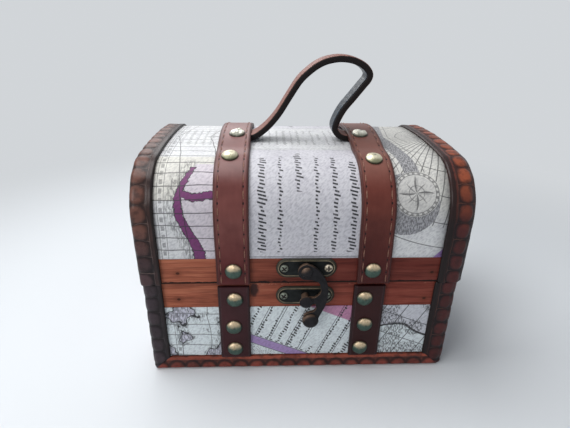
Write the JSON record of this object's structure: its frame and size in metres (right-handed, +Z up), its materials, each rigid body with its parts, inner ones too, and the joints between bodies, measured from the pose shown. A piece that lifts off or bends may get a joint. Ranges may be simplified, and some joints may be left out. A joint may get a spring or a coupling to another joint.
{
  "type": "hinged wooden money box",
  "caption": "Small chest-shaped wooden box with a domed hinged lid, map-print covering, leather edge trims, two studded straps, a leather carrying handle and a swing-hook latch.",
  "frame": {"origin": "centre of the flat underside of the case", "axes": "+Z up, -Y the front with the latch, +X to the right as seen from the front"},
  "size_m": [0.1518, 0.1138, 0.152],
  "materials": {
    "stained_wood": "solid softwood boards with a red-brown stain, satin, with knots and dark streaks",
    "plywood": "thin stained plywood, satin",
    "map_covering": null,
    "corner_leather": "dark brown leatherette edging pressed with a row of rounded tiles",
    "base_leather": "red-brown leatherette edging pressed with a row of rounded tiles",
    "strap_leather": "smooth dark maroon-brown leather with two rows of stitching",
    "handle_leather": "brown leather with a black glossy flesh side",
    "stud_brass": "antique brass, hammered, worn bright on the domes",
    "latch_bronze": "antique bronze, near black with brass showing on worn edges",
    "hinge_brass": "antique brass",
    "screw_steel": "zinc and yellow passivated steel, dulled"
  },
  "bodies": {
    "case": {"case_front_board": "stained_wood", "case_back_board": "stained_wood", "case_left_board": "stained_wood", "case_right_board": "stained_wood", "case_floor": "plywood", "case_front_map": "map_covering", "case_back_map": "map_covering", "case_left_map": "map_covering", "case_right_map": "map_covering", "corner_trim_front_left": "corner_leather", "corner_trim_front_right": "corner_leather", "corner_trim_back_left": "corner_leather", "corner_trim_back_right": "corner_leather", "base_trim_front": "base_leather", "base_trim_back": "base_leather", "base_trim_left": "base_leather", "base_trim_right": "base_leather", "case_strap_front_left": "strap_leather", "case_strap_front_right": "strap_leather", "case_strap_back_left": "strap_leather", "case_strap_back_right": "strap_leather", "case_studs_front": "stud_brass", "case_studs_back": "stud_brass", "catch_plate": "latch_bronze", "catch_post": "latch_bronze", "catch_screws": "screw_steel", "hinge_left_case_leaf": "hinge_brass", "hinge_right_case_leaf": "hinge_brass", "hinge_left_pin": "hinge_brass", "hinge_right_pin": "hinge_brass", "hinge_case_screws": "screw_steel"},
    "lid": {"lid_front_board": "stained_wood", "lid_back_board": "stained_wood", "lid_left_end": "stained_wood", "lid_right_end": "stained_wood", "lid_dome_skin": "plywood", "lid_map": "map_covering", "lid_left_map": "map_covering", "lid_right_map": "map_covering", "lid_trim_left": "corner_leather", "lid_trim_right": "corner_leather", "lid_strap_left": "strap_leather", "lid_strap_right": "strap_leather", "lid_studs_front": "stud_brass", "lid_studs_shoulder": "stud_brass", "lid_studs_back": "stud_brass", "handle_rivets": "stud_brass", "carry_handle": "handle_leather", "latch_plate": "latch_bronze", "latch_pivot": "latch_bronze", "latch_screws": "screw_steel", "hinge_left_lid_leaf": "hinge_brass", "hinge_right_lid_leaf": "hinge_brass", "hinge_lid_screws": "screw_steel"},
    "hook": {"latch_hook": "latch_bronze"}
  },
  "joints": [
    {"name": "lid_hinge", "type": "hinge", "parent": "case", "child": "lid", "pos_m": [0, 0.0531, 0.0526], "axis": [-1, 0, 0], "range_deg": [0, 105]},
    {"name": "hook_pivot", "type": "hinge", "parent": "lid", "child": "hook", "pos_m": [0.0022, -0.0567, 0.0613], "axis": [0, -1, 0], "range_deg": [0, 70]}
  ]
}
